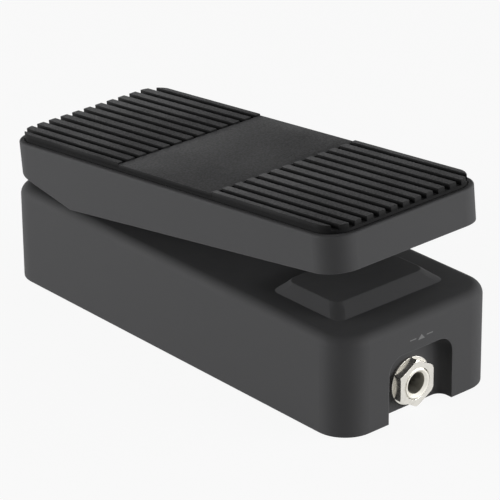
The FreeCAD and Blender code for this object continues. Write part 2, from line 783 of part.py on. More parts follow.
def build_heel_stops():
    """Rubber buttons on the roof, as tall as lets the treadle's bosses reach them heel-down."""
    lean = "(tread_tilt + heel_travel)"
    reach = "(heel_stop_reach + heel_stop_radius + 1)"
    boss_face = "(-(tread_top + heel_stop_boss) - %s)" % PIVOT_V
    rise = "(pivot_rise - %s * sin%s + %s * cos%s - stop_gap)" % (reach, lean, boss_face, lean)
    buttons = []
    for number, across in enumerate(("-heel_stop_half", "heel_stop_half"), start=1):
        at = (across, PIVOT_Y + " - heel_stop_reach", ROOF_TOP + " - stop_seat")
        buttons.append(cylinder("heel_stop_%d" % number, "heel_stop_radius", "stop_seat + " + rise, at))
    return group("heel_stops", buttons)


# ---------------------------------------------------------------- pivot

def build_axle():
    """The axle through both cheeks and both ears, with a groove for a clip at each end."""
    end = "(%s + 2 * clip_thick)" % CLIP_INNER
    rod = cylinder("axle_rod", "axle_radius", "2 * " + end, ("-" + end, PIVOT_Y, PIVOT_Z), ALONG_X)
    grooves = []
    for number, start in enumerate((CLIP_INNER, "-(%s + clip_thick)" % CLIP_INNER), start=1):
        grooves.append(ring("axle_groove_%d" % number, "axle_radius + 1", "clip_groove", "clip_thick",
                            (start, PIVOT_Y, PIVOT_Z), ALONG_X))
    return cut("pivot_axle", rod, union("axle_grooves", grooves))


def build_bushes():
    """Flanged bushes pressed into the treadle's ears; they turn on the axle."""
    bushes = []
    bore = "axle_radius + running_gap"
    for number, side in enumerate(("", "-"), start=1):
        name = "bush_%d" % number
        sleeve_at = (EAR_INNER if side == "" else "-" + EAR_OUTER, PIVOT_U, PIVOT_V)
        flange_start = "(%s - bush_flange)" % EAR_INNER if side == "" else "-" + EAR_INNER
        sleeve = cylinder(name + "_sleeve", bore + " + bush_wall", "ear_thick", sleeve_at, ALONG_X)
        flange = cylinder(name + "_flange", "axle_radius + 2 * bush_wall", "bush_flange",
                          (flange_start, PIVOT_U, PIVOT_V), ALONG_X)
        hole_start = "(%s - bush_flange)" % EAR_INNER if side == "" else "-" + EAR_OUTER
        hole = cylinder(name + "_hole", bore, "ear_thick + bush_flange", (hole_start, PIVOT_U, PIVOT_V), ALONG_X)
        bushes.append(cut(name, union(name + "_blank", [sleeve, flange]), hole))
    return on_treadle(group("pivot_bushes", bushes))


def build_axle_hardware():
    washers = []
    clips = []
    for number, side in enumerate(("", "-"), start=1):
        washer_start = WASHER_INNER if side == "" else "-(%s + friction_washer_thick)" % WASHER_INNER
        washers.append(ring("friction_washer_%d" % number, "clip_radius", "axle_radius + running_gap",
                            "friction_washer_thick", (washer_start, PIVOT_Y, PIVOT_Z), ALONG_X))
        clip_start = CLIP_INNER if side == "" else "-(%s + clip_thick)" % CLIP_INNER
        name = "axle_clip_%d" % number
        closed = ring(name + "_ring", "clip_radius", "clip_groove + fit_gap", "clip_thick",
                      (clip_start, PIVOT_Y, PIVOT_Z), ALONG_X)
        mouth = block(name + "_mouth", ("clip_thick", "2.6 * clip_groove / 2", "clip_radius"),
                      (clip_start, PIVOT_Y + " - 1.3 * clip_groove / 2", PIVOT_Z))
        clips.append(cut(name, closed, mouth))
    group("friction_washers", washers)
    group("axle_clips", clips)


# ---------------------------------------------------------------- gears

def tooth_outline(teeth, slack):
    """One tooth as (radius, angle from its middle) pairs, from root to tip to root."""
    module = size("gear_module")
    press = math.radians(size("pressure_angle"))
    pitch = module * teeth / 2
    base = pitch * math.cos(press)
    root = pitch - 1.1 * module
    tip = pitch + 0.8 * module
    half_at_pitch = math.pi / (2 * teeth) - slack / (2 * pitch)
    start = max(base, root)
    flank = []
    if root < base:
        flank.append((root, half_at_pitch + math.tan(press) - press))
    steps = 6
    for step in range(steps + 1):
        radius = start + (tip - start) * step / steps
        angle = math.acos(min(1.0, base / radius))
        spread = math.tan(angle) - angle
        flank.append((radius, half_at_pitch + math.tan(press) - press - spread))
    rising = [(radius, -half) for radius, half in flank]
    falling = [(radius, half) for radius, half in reversed(flank)]
    return rising + falling


def polar(centre, radius, angle):
    """A point in the plane X = 0, at an angle measured from straight down towards +Y."""
    return Vector(0, centre.y + radius * math.sin(angle), centre.z - radius * math.cos(angle))


def toothed_points(centre, teeth, middles):
    points = []
    for middle in middles:
        for radius, offset in tooth_outline(teeth, size("tooth_slack")):
            points.append(polar(centre, radius, middle + offset))
    return points


def extruded(points, start, length):
    """The solid between X = start and X = start + length over a closed outline."""
    face = Part.Face(Part.makePolygon(points + points[:1]))
    face.translate(Vector(start, 0, 0))
    return face.extrude(Vector(length, 0, 0))


def rod_along_x(centre, radius, start, length):
    return Part.makeCylinder(radius, length, Vector(start, centre.y, centre.z), Vector(1, 0, 0))


def pivot_point():
    return Vector(0, size(PIVOT_Y), size(PIVOT_Z))


def pot_point():
    return Vector(0, size(POT_Y), size(POT_Z))


def plain_part(name, shape):
    """A sub-part whose outline is worked out here, because no sketch or primitive draws it."""
    item = document.addObject("Part::Feature", name)
    item.Shape = shape
    item.Label = name
    return item


def build_sector():
    """The toothed arc on the treadle, centred on the pivot, with a tooth gap facing the pinion."""
    teeth = size("sector_full_teeth")
    pitch_angle = 2 * math.pi / teeth
    lean = math.radians(size("gear_lean"))
    count = round(size("sector_cut_teeth"))
    middles = [lean + (index - (count - 1) / 2) * pitch_angle for index in range(count)]
    centre = pivot_point()
    half = size("sector_half")
    root = size("gear_module") * (teeth / 2 - 1.1)
    arc_ends = [lean - count / 2 * pitch_angle, lean + count / 2 * pitch_angle]
    outline = [centre, polar(centre, root, arc_ends[0])]
    outline += toothed_points(centre, teeth, middles)
    outline.append(polar(centre, root, arc_ends[1]))
    arm = extruded(outline, -half, 2 * half)
    hub = rod_along_x(centre, size("sector_hub"), -half, 2 * half)
    tab_half = size("sector_tab_half")
    low = size(PIVOT_V)
    high = -size("tread_top + seat_gap")
    tab = Part.makeBox(2 * half, 2 * tab_half, high - low, Vector(-half, size(PIVOT_U) - tab_half, low))
    for sign in (-1, 1):
        spot = Vector(-half, size(PIVOT_U) + sign * size("sector_screw_half"), -size("tread_top + lug_drop / 2"))
        radius = size("sector_screw_radius + fit_gap")
        tab = tab.cut(Part.makeCylinder(radius, 2 * half, spot, Vector(1, 0, 0)))
    tab.Placement = Placement(Vector(0, 0, size(TREAD_HEIGHT)), Rotation(Vector(1, 0, 0), size("tread_tilt")))
    bore = rod_along_x(centre, size("axle_radius + 8 * fit_gap"), -half, 2 * half)
    whole = arm.fuse([hub, tab]).cut(bore).removeSplitter()
    return plain_part("gear_sector", whole.Solids[0])


def build_pinion():
    """The pinion and its hub; one tooth points at the treadle's pivot."""
    teeth = round(size("pinion_teeth"))
    lean = math.radians(size("gear_lean"))
    centre = pot_point()
    middles = [lean + math.pi + index * 2 * math.pi / teeth for index in range(teeth)]
    half = size("pinion_half")
    wheel = extruded(toothed_points(centre, teeth, middles), -half, 2 * half)
    hub = rod_along_x(centre, size("pinion_hub"), -3 * half, 2 * half)
    bore = rod_along_x(centre, size("shaft_radius + fit_gap / 2"), -3 * half, 4 * half)
    grub_hole = Part.makeCylinder(size("gear_module * 1.25"), size("pinion_hub"),
                                  Vector(-2 * half, centre.y, centre.z), Vector(0, 0, 1))
    whole = wheel.fuse(hub).cut(bore).cut(grub_hole).removeSplitter()
    return plain_part("pinion", whole.Solids[0])


def build_pot_spindle():
    length = "bracket_face + 3 * pinion_half"
    rod = cylinder("pot_shaft_rod", "shaft_radius", length + " - fit_gap", ("-3 * pinion_half", POT_Y, POT_Z),
                   ALONG_X)
    group("pot_shaft", [rod])
    build_pinion()
    grub = cylinder("grub", "gear_module * 1.25 - fit_gap", "pinion_hub - shaft_radius - 2 * fit_gap",
                    ("-2 * pinion_half", POT_Y, POT_Z + " + shaft_radius + fit_gap"))
    group("pinion_grub_screw", [grub])


def build_sector_screws():
    screws = []
    for number, sign in enumerate((" - ", " + "), start=1):
        along = PIVOT_U + sign + "sector_screw_half"
        height = "-(tread_top + lug_drop / 2)"
        name = "sector_screw_%d" % number
        head = cylinder(name + "_head", "1.9 * sector_screw_radius", "1.1 * sector_screw_radius",
                        ("-sector_half - 1.1 * sector_screw_radius", along, height), ALONG_X)
        shank = cylinder(name + "_shank", "sector_screw_radius", "2 * sector_half + lug_thick - fit_gap",
                         ("-sector_half", along, height), ALONG_X)
        screws.append(union(name, [head, shank]))
    return on_treadle(group("sector_screws", screws))


# ---------------------------------------------------------------- potentiometer

def build_pot_bracket():
    """Angle bracket under the roof that carries the potentiometer."""
    width = "2 * bracket_half"
    low = POT_Z + " - pot_radius"
    upright_leg = block("bracket_leg", ("bracket_thick", width, ROOF_UNDER + " - (" + low + ")"),
                        ("bracket_face - bracket_thick", POT_Y + " - bracket_half", low))
    flange = block("bracket_flange_leg", ("bracket_flange", width, "bracket_thick"),
                   ("bracket_face", POT_Y + " - bracket_half", ROOF_UNDER + " - bracket_thick"))
    blank = union("bracket_blank", [upright_leg, flange])
    neck_hole = cylinder("bracket_neck_hole", "pot_neck_radius + fit_gap", "bracket_thick",
                         ("bracket_face - bracket_thick", POT_Y, POT_Z), ALONG_X)
    holes = [neck_hole]
    screws = []
    for number, sign in enumerate((" - ", " + "), start=1):
        across = "bracket_face + bracket_flange / 2"
        along = POT_Y + sign + "bracket_screw_half"
        holes.append(cylinder("bracket_hole_%d" % number, "bracket_screw_radius + fit_gap", "bracket_thick",
                              (across, along, ROOF_UNDER + " - bracket_thick")))
        head = cylinder("bracket_screw_head_%d" % number, "1.9 * bracket_screw_radius", "1.2 * bracket_screw_radius",
                        (across, along, ROOF_UNDER + " - bracket_thick - 1.2 * bracket_screw_radius"))
        shank = cylinder("bracket_screw_shank_%d" % number, "bracket_screw_radius",
                         "bracket_thick + body_roof * 0.7 - fit_gap", (across, along, ROOF_UNDER + " - bracket_thick"))
        screws.append(union("bracket_screw_%d" % number, [head, shank]))
    cut("pot_bracket", blank, union("bracket_holes", holes))
    group("bracket_screws", screws)


def build_pot():
    face = ("bracket_face", POT_Y, POT_Z)
    can = cylinder("pot_can", "pot_radius", "pot_depth", face, ALONG_X)
    tag_block = block("pot_tag_block", ("pot_block_thick", "pot_block_reach", "2 * pot_block_half"),
                      ("bracket_face", POT_Y, POT_Z + " - pot_block_half"))
    union("pot_case", [can, tag_block])
    neck_end = ("bracket_face - pot_neck_length", POT_Y, POT_Z)
    ring("pot_neck", "pot_neck_radius", "shaft_radius + running_gap", "pot_neck_length", neck_end, ALONG_X)
    washer_start = "(bracket_face - bracket_thick - pot_washer_thick)"
    ring("pot_washer", "pot_nut_flats / 2 + 0.8", "pot_neck_radius + fit_gap", "pot_washer_thick",
         (washer_start, POT_Y, POT_Z), ALONG_X)
    against_x = Rotation(Vector(0, 0, 1), Vector(-1, 0, 0))
    chamfered_nut("pot_nut", "pot_nut_flats", "pot_neck_radius + fit_gap", "pot_nut_thick",
                  (washer_start, POT_Y, POT_Z), against_x)
    terminals = []
    for index in range(3):
        height = "%s + %d * terminal_pitch - lug_width / 2" % (POT_Z, index - 1)
        at = ("bracket_face + pot_block_thick / 2 - lug_sheet / 2", POT_Y + " + pot_block_reach", height)
        terminals.append(block("pot_terminal_%d" % (index + 1), ("lug_sheet", "lug_length", "lug_width"), at))
    group("pot_terminals", terminals)


# ---------------------------------------------------------------- internal wires

def rounded_route(points):
    """Straight runs joined by tangent arcs, each arc as large as its two runs allow."""
    edges = []
    here = points[0]
    for before, corner, after in zip(points, points[1:], points[2:]):
        into = (corner - before).normalize()
        out = (after - corner).normalize()
        turn = into.getAngle(out)
        shorter = min((corner - before).Length, (after - corner).Length)
        reach = 0.45 * shorter
        radius = reach / math.tan(turn / 2)
        start = corner - into * reach
        end = corner + out * reach
        bisector = (out - into).normalize()
        middle = corner + bisector * (radius / math.cos(turn / 2) - radius)
        edges.append(Part.LineSegment(here, start).toShape())
        edges.append(Part.Arc(start, middle, end).toShape())
        print("wire bend radius %.1f mm" % radius)
        here = end
    edges.append(Part.LineSegment(here, points[-1]).toShape())
    return Part.Wire(edges)


def wire_solid(points):
    """A round wire along a route; its volume is held against section times length."""
    radius = size("wire_radius")
    route = rounded_route(points)
    tangent = (points[1] - points[0]).normalize()
    profile = Part.Wire(Part.makeCircle(radius, points[0], tangent))
    solid = route.makePipeShell([profile], True, False)
    expected = math.pi * radius ** 2 * route.Length
    if abs(solid.Volume / expected - 1) > 0.01:
        raise RuntimeError("a wire has the wrong volume")
    return solid


def build_wires():
    """Insulated wires: each socket's signal to the potentiometer, and ground from socket to socket."""
    pot_tip = size(POT_Y + " + pot_block_reach + lug_length")
    pot_x = size("bracket_face + pot_block_thick / 2")
    pot_z = size(POT_Z)
    step = size("terminal_pitch")
    jack_end = size(ARCH_INNER + " - jack_case_length - lug_length")
    jack_z = size(SOCKET_AXIS + " - jack_case_drop / 2")
    low_z = size(PLATE_TOP) + size("wire_radius") + 0.8
    spread = size("lug_half_spread")
    output_signal = [
        Vector(spread, jack_end, jack_z),
        Vector(spread, jack_end - 6, jack_z),
        Vector(spread + 3, jack_end - 16, jack_z + 2),
        Vector(pot_x + 1.5, pot_tip + 20, pot_z - 0.5),
        Vector(pot_x, pot_tip + 9, pot_z),
        Vector(pot_x, pot_tip, pot_z),
    ]
    input_signal = [
        Vector(spread, -jack_end, jack_z),
        Vector(spread, 5 - jack_end, jack_z),
        Vector(spread + 0.7, 14 - jack_end, low_z),
        Vector(spread + 0.7, pot_tip - 2, low_z),
        Vector(spread + 2, pot_tip + 11, low_z + 0.5),
        Vector(spread + 4, pot_tip + 17, (low_z + pot_z + step) / 2),
        Vector(pot_x, pot_tip + 10, pot_z + step),
        Vector(pot_x, pot_tip, pot_z + step),
    ]
    ground = [
        Vector(-spread, -jack_end, jack_z),
        Vector(-spread, 5 - jack_end, jack_z),
        Vector(-spread - 0.7, 15 - jack_end, low_z),
        Vector(-spread - 3.2, -9, low_z),
        Vector(-spread - 1.6, 12, low_z),
        Vector(-spread, jack_end - 6, jack_z),
        Vector(-spread, jack_end, jack_z),
    ]
    plain_part("signal_wires", Part.makeCompound([wire_solid(output_signal), wire_solid(input_signal)]))
    plain_part("ground_wire", wire_solid(ground))


# ---------------------------------------------------------------- build and write

SUB_PARTS = [
    "body_shell", "base_plate", "cover_screws", "rubber_feet", "heel_stops",
    "output_jack_case", "output_jack_neck", "output_jack_washer", "output_jack_nut", "output_jack_contacts",
    "input_jack_case", "input_jack_neck", "input_jack_washer", "input_jack_nut", "input_jack_contacts",
    "pivot_axle", "friction_washers", "axle_clips",
    "pot_bracket", "bracket_screws", "pot_case", "pot_neck", "pot_washer", "pot_nut", "pot_terminals",
    "signal_wires", "ground_wire",
    "treadle_shell", "treadle_mat", "pivot_bushes", "gear_sector", "sector_screws", "toe_stop",
    "pot_shaft", "pinion", "pinion_grub_screw",
]

build_body_shell()
build_base_plate()
build_cover_screws()
build_feet()
build_jack("output", "")
build_jack("input", "-")
build_treadle_shell()
build_mat()
build_toe_stop()
build_heel_stops()
build_axle()
build_bushes()
build_axle_hardware()
build_sector()
build_sector_screws()
build_pot_spindle()
build_pot_bracket()
build_pot()
build_wires()
document.recompute()

for item in document.Objects:
    if "Invalid" in item.State or "Error" in item.State:
        raise RuntimeError("%s failed: %s" % (item.Name, item.State))

os.makedirs("parts", exist_ok=True)
for name in SUB_PARTS:
    item = document.getObject(name)
    item.Label = name
    shape = item.Shape
    if shape.isNull() or not shape.isValid() or not shape.Solids:
        raise RuntimeError("%s has no valid solid" % name)
    shape.exportStep(os.path.join("parts", name + ".step"))
    print("%-24s %2d solids %10.2f mm3" % (name, len(shape.Solids), shape.Volume))
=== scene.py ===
# %% [markdown]
# # A compact volume pedal
# The pedal is a cast housing with a treadle that rocks on it. The housing, axle, gears and sockets
# come from the CAD frame and stay where they are. This lesson gives every surface its finish, and
# builds again the pieces whose small shapes a CAD solid leaves out: the ribbed mat, the rubber feet
# and the threaded necks of the sockets.

import math

import bmesh
import bpy
from mathutils import Matrix, Vector


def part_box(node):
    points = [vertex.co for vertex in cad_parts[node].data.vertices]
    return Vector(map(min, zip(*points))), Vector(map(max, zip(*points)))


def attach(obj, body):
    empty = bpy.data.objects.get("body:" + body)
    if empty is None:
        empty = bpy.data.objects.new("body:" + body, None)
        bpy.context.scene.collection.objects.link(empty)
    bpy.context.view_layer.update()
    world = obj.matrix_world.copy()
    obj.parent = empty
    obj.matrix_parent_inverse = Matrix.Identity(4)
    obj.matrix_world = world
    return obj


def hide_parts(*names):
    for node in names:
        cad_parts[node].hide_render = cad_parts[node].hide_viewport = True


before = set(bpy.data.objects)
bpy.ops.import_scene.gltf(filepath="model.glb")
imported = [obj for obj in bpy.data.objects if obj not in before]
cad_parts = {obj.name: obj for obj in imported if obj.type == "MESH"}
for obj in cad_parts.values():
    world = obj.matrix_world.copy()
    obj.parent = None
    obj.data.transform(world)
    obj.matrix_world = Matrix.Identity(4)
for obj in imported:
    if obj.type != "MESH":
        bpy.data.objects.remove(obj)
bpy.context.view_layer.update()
MM = 0.001

# %% [markdown]
# ## Nodes by name
# Shader trees and geometry trees are both graphs of nodes. A short helper that makes a node, sets
# its plain values and links its sockets keeps each tree readable as a list of steps. Building the
# graphs by hand in the node editor would work as well, but then the script would not hold them.

# %% A helper for every node tree


def add(tree, kind, inputs=None, **settings):
    """A new node. Inputs are plain values or the output sockets of other nodes."""
    node = tree.nodes.new(kind)
    for name, value in settings.items():
        setattr(node, name, value)
    for key, value in (inputs or {}).items():
        if isinstance(value, bpy.types.NodeSocket):
            tree.links.new(value, node.inputs[key])
        else:
            node.inputs[key].default_value = value
    return node


def maths(tree, operation, first, second=0.0, clamped=False):
    """The output of a Math node."""
    node = add(tree, "ShaderNodeMath", {0: first, 1: second}, operation=operation, use_clamp=clamped)
    return node.outputs[0]


def ramp(tree, value, low, high, to_low=0.0, to_high=1.0):
    """The value's place between low and high, clamped, as a smooth step."""
    inputs = {"Value": value, "From Min": low, "From Max": high, "To Min": to_low, "To Max": to_high}
    return add(tree, "ShaderNodeMapRange", inputs, interpolation_type="SMOOTHSTEP").outputs["Result"]


def mixed(tree, factor, first, second):
    """The colour between two colours."""
    node = add(tree, "ShaderNodeMix", data_type="RGBA")
    for key, value in (("Factor_Float", factor), ("A_Color", first), ("B_Color", second)):
        socket = next(item for item in node.inputs if item.identifier == key)
        if isinstance(value, bpy.types.NodeSocket):
            tree.links.new(value, socket)
        else:
            socket.default_value = value
    return next(item for item in node.outputs if item.identifier == "Result_Color")


def grey(level):
    """A neutral colour, in linear light."""
    return (level, level, level, 1.0)


# %% [markdown]
# ## Effects that several finishes share
# Real coats and metals have the same few faults: a fine grain, a slow drift in tone, edges that are
# rounded and rubbed, and dust on what faces up. The paler edge colour is also a painted highlight
# along the edges. Each one is a node group with its own sliders, so one good version serves every
# material. A group only works out numbers, colours and normals, and the shader itself stays in the
# material.

# %% Start a shader group


def shader_group(name, inputs, outputs):
    """An empty shader group with its sockets made, and its two end nodes."""
    tree = bpy.data.node_groups.new(name, "ShaderNodeTree")
    for label, value in inputs:
        socket = tree.interface.new_socket(label, in_out="INPUT", socket_type="NodeSocketFloat")
        socket.default_value = value
    for label, kind in outputs:
        tree.interface.new_socket(label, in_out="OUTPUT", socket_type=kind)
    return tree, add(tree, "NodeGroupInput"), add(tree, "NodeGroupOutput")


# %% Grain: fine height, slow tone
GRAIN_PER_METRE = 2600.0
DRIFT_PER_METRE = 38.0

grain, grain_in, grain_out = shader_group(
    "fine_grain", [("Scale", 1.0)], [("Height", "NodeSocketFloat"), ("Tone", "NodeSocketFloat")])
place = add(grain, "ShaderNodeTexCoord").outputs["Object"]
fine_scale = maths(grain, "MULTIPLY", grain_in.outputs["Scale"], GRAIN_PER_METRE)
fine = add(grain, "ShaderNodeTexNoise", {
    "Vector": place, "Scale": fine_scale, "Detail": 3.0, "Roughness": 0.6})
drift = add(grain, "ShaderNodeTexNoise", {"Vector": place, "Scale": DRIFT_PER_METRE, "Detail": 4.0})
grain.links.new(fine.outputs["Fac"], grain_out.inputs["Height"])
grain.links.new(ramp(grain, drift.outputs["Fac"], 0.3, 0.7), grain_out.inputs["Tone"])
print("group:", grain.name)

# %% Edges: rounded normal, mask for rubbed wear and painted highlight
edges, edges_in, edges_out = shader_group(
    "soft_edges", [("Radius", 0.3 * MM), ("Gain", 6.0)],
    [("Normal", "NodeSocketVector"), ("Mask", "NodeSocketFloat")])
rounded = add(edges, "ShaderNodeBevel", {"Radius": edges_in.outputs["Radius"]}, samples=6)
flat = add(edges, "ShaderNodeNewGeometry").outputs["Normal"]
same = add(edges, "ShaderNodeVectorMath", {0: rounded.outputs["Normal"], 1: flat}, operation="DOT_PRODUCT")
turned_away = maths(edges, "SUBTRACT", 1.0, same.outputs["Value"])
# The edge mask stands for rubbed wear and also paints a highlight along the edges.
wear_and_highlight = maths(edges, "MULTIPLY", turned_away, edges_in.outputs["Gain"], clamped=True)
edges.links.new(rounded.outputs["Normal"], edges_out.inputs["Normal"])
edges.links.new(wear_and_highlight, edges_out.inputs["Mask"])
print("group:", edges.name)

# %% Dust: settles on what faces up
CLOUDS_PER_METRE = 160.0

dust, dust_in, dust_out = shader_group("light_dust", [("Amount", 0.1)], [("Mask", "NodeSocketFloat")])
dust_coords = add(dust, "ShaderNodeTexCoord").outputs
upward = add(dust, "ShaderNodeSeparateXYZ", {0: dust_coords["Normal"]}).outputs["Z"]
cloud = add(dust, "ShaderNodeTexNoise", {
    "Vector": dust_coords["Object"], "Scale": CLOUDS_PER_METRE, "Detail": 6.0, "Roughness": 0.7})
patches = ramp(dust, cloud.outputs["Fac"], 0.42, 0.75)
settled = maths(dust, "MULTIPLY", ramp(dust, upward, 0.5, 1.0), patches)
dust.links.new(maths(dust, "MULTIPLY", settled, dust_in.outputs["Amount"]), dust_out.inputs["Mask"])
print("group:", dust.name)

# %% Brushing: fine lines one way, for plated and ground metal
LINES_PER_METRE = 1200.0

brushing, brushing_in, brushing_out = shader_group(
    "brush_lines", [("Along X", 1.0), ("Along Y", 1.0), ("Along Z", 1.0)], [("Lines", "NodeSocketFloat")])
stretch = add(brushing, "ShaderNodeCombineXYZ", {
    "X": brushing_in.outputs["Along X"],
    "Y": brushing_in.outputs["Along Y"],
    "Z": brushing_in.outputs["Along Z"],
})
stretched = add(brushing, "ShaderNodeVectorMath", {
    0: add(brushing, "ShaderNodeTexCoord").outputs["Object"],
    1: stretch.outputs["Vector"],
}, operation="MULTIPLY")
lines = add(brushing, "ShaderNodeTexNoise", {
    "Vector": stretched.outputs["Vector"], "Scale": LINES_PER_METRE, "Detail": 2.0})
brushing.links.new(lines.outputs["Fac"], brushing_out.inputs["Lines"])
print("group:", brushing.name)

# %% [markdown]
# ## Materials
# Every finish follows one pattern: two near colours mixed by the slow tone, a paler colour on the
# edges as rubbed wear and painted highlight, a roughness that drifts, and a bump of the fine grain
# on top of the rounded normal.
# One function makes the pattern, and each finish then adds what is its own.

# %% The pattern that all finishes start from
DUST_GREY = grey(0.3)
BUMP_DEPTH = 0.1 * MM


def use_group(tree, group, **values):
    """A group placed in a tree. An underscore stands for a space in a socket's name."""
    node = add(tree, "ShaderNodeGroup", node_tree=group)
    for label, value in values.items():
        node.inputs[label.replace("_", " ")].default_value = value
    return node


def finish(name, colour, tone, edge_highlight_and_wear, roughness, grain_scale=1.0, bump=0.1, edge_radius=0.25,
           metallic=0.0, specular=0.5, dusty=0.0):
    """A procedural material. Colours are linear; roughness is a pair; edge_radius is in millimetres."""
    material = bpy.data.materials.new(name)
    material.use_nodes = True
    tree = material.node_tree
    shader = tree.nodes["Principled BSDF"]
    speckle = use_group(tree, grain, Scale=grain_scale)
    edge_wear_and_highlight = use_group(tree, edges, Radius=edge_radius * MM)
    body = mixed(tree, speckle.outputs["Tone"], (*colour, 1.0), (*tone, 1.0))
    # Paler colour on the edges: painted highlight and rubbed wear.
    body = mixed(tree, edge_wear_and_highlight.outputs["Mask"], body, (*edge_highlight_and_wear, 1.0))
    if dusty:
        body = mixed(tree, use_group(tree, dust, Amount=dusty).outputs["Mask"], body, DUST_GREY)
    tree.links.new(body, shader.inputs["Base Color"])
    rough = ramp(tree, speckle.outputs["Tone"], 0.0, 1.0, *roughness)
    tree.links.new(rough, shader.inputs["Roughness"])
    relief = add(tree, "ShaderNodeBump", {
        "Strength": bump,
        "Distance": BUMP_DEPTH,
        "Height": speckle.outputs["Height"],
        "Normal": edge_wear_and_highlight.outputs["Normal"],
    })
    tree.links.new(relief.outputs["Normal"], shader.inputs["Normal"])
    shader.inputs["Metallic"].default_value = metallic
    shader.inputs["Specular IOR Level"].default_value = specular
    return material, tree, shader


# %% [markdown]
# ### Matte coat on the castings
# The housing and the treadle are die-cast and then coated in a smooth, matte dark grey. A coat like
# this is nearly even, so the tone drifts by very little, and what shows is the soft light along the
# rounded edges; the paler edge colour paints that light in as a highlight. The small pad-printed mark
# above the toe socket is a plain arrowhead between two bars. It is worked out from the surface's own
# coordinates, so it needs no image.

# %% Coat, and the printed mark
COAT = (0.079, 0.079, 0.081)
COAT_TONE = (0.083, 0.083, 0.085)
# Paler edge colour: a painted highlight along the coat's rounded edges.
COAT_EDGE_HIGHLIGHT = (0.170, 0.170, 0.174)
MARK_LEVEL = 24.2 * MM
MARK_HALF = 1.3 * MM
MARK_HEIGHT = 1.5 * MM
BAR_INNER = 2.0 * MM
BAR_OUTER = 4.4 * MM
BAR_HALF = 0.16 * MM
MARK_FACE = 74.0 * MM
MARK_GREY = grey(0.22)


def inside(tree, value, low, high):
    """One where the value is between low and high."""
    above = maths(tree, "GREATER_THAN", value, low)
    below = maths(tree, "LESS_THAN", value, high)
    return maths(tree, "MULTIPLY", above, below)


def printed_mark(tree):
    """The mask of an arrowhead between two bars on the toe face."""
    axes = add(tree, "ShaderNodeSeparateXYZ", {0: add(tree, "ShaderNodeTexCoord").outputs["Object"]})
    across = maths(tree, "ABSOLUTE", axes.outputs["X"])
    level = axes.outputs["Z"]
    rise = maths(tree, "SUBTRACT", level, MARK_LEVEL - MARK_HEIGHT / 2)
    lean = maths(tree, "MULTIPLY", rise, MARK_HALF / MARK_HEIGHT)
    reach = maths(tree, "ADD", across, lean)
    in_width = maths(tree, "LESS_THAN", reach, MARK_HALF)
    head = maths(tree, "MULTIPLY", inside(tree, rise, 0.0, MARK_HEIGHT), in_width)
    bar_height = inside(tree, level, MARK_LEVEL - BAR_HALF, MARK_LEVEL + BAR_HALF)
    bars = maths(tree, "MULTIPLY", bar_height, inside(tree, across, BAR_INNER, BAR_OUTER))
    on_face = maths(tree, "GREATER_THAN", axes.outputs["Y"], MARK_FACE)
    return maths(tree, "MULTIPLY", maths(tree, "MAXIMUM", head, bars), on_face)


def coat(name, marked):
    """The matte coat, with or without the printed mark."""
    material, tree, shader = finish(name, COAT, COAT_TONE, COAT_EDGE_HIGHLIGHT, (0.62, 0.70), grain_scale=0.8,
                                    bump=0.05, edge_radius=0.35, specular=0.07, dusty=0.02)
    if marked:
        plain = shader.inputs["Base Color"].links[0].from_socket
        tree.links.new(mixed(tree, printed_mark(tree), plain, MARK_GREY), shader.inputs["Base Color"])
    return material


housing_coat = coat("housing_coat", marked=True)
treadle_coat = coat("treadle_coat", marked=False)
print("coats:", housing_coat.name, treadle_coat.name)

# %% [markdown]
# ### Black rubber
# The mat is a black rubber moulding. The tops of its ribs get a painted sheen, a patchy pale grey
# where they face the light above, while the grooves and side walls stay black. The mask for that
# painted sheen needs two facts, how high a point stands on the mat and whether it faces up, and both
# are read in the mat's own tilted directions.

# %% Rubber, and the painted sheen on the rib tops
TREAD_TILT = math.radians(6.21)
TREAD_LEVEL = 53.16 * MM
RUBBER = (0.0040, 0.0040, 0.0042)
RUBBER_TONE = (0.0055, 0.0055, 0.0057)
# Paler edge colour: a painted highlight along the rubber's edges.
RUBBER_EDGE_HIGHLIGHT = (0.012, 0.012, 0.013)
# Pale grey of the rib tops: a painted sheen, not the rubber's own colour.
RIB_TOP_SHEEN = (0.105, 0.105, 0.107, 1.0)
SHEEN_LEAST = 0.45


def rubber(name, with_sheen):
    """Black rubber. One with the sheen is paler where it stands high and faces up: a painted sheen."""
    material, tree, shader = finish(name, RUBBER, RUBBER_TONE, RUBBER_EDGE_HIGHLIGHT, (0.58, 0.70), grain_scale=0.7,
                                    bump=0.22, edge_radius=0.12, specular=0.12)
    if with_sheen:
        coords = add(tree, "ShaderNodeTexCoord")
        tilt = (TREAD_TILT, 0.0, 0.0)
        inputs = {"Vector": coords.outputs["Object"], "Location": (0.0, 0.0, TREAD_LEVEL), "Rotation": tilt}
        level = add(tree, "ShaderNodeMapping", inputs, vector_type="TEXTURE")
        height = add(tree, "ShaderNodeSeparateXYZ", {0: level.outputs["Vector"]}).outputs["Z"]
        mat_up = (0.0, -math.sin(TREAD_TILT), math.cos(TREAD_TILT))
        facing = add(tree, "ShaderNodeVectorMath", {
            0: coords.outputs["Normal"],
            1: mat_up,
        }, operation="DOT_PRODUCT")
        # Painted sheen: paler where the mat stands high and faces up, in patches.
        painted_sheen = maths(tree, "MULTIPLY", ramp(tree, height, 1.3 * MM, 2.3 * MM),
                           ramp(tree, facing.outputs["Value"], 0.80, 0.98))
        speckle = use_group(tree, grain, Scale=0.6)
        patchy = ramp(tree, speckle.outputs["Height"], 0.35, 0.65, SHEEN_LEAST, 1.0)
        painted_sheen = maths(tree, "MULTIPLY", painted_sheen, patchy)
        plain = shader.inputs["Base Color"].links[0].from_socket
        tree.links.new(mixed(tree, painted_sheen, plain, RIB_TOP_SHEEN), shader.inputs["Base Color"])
    return material


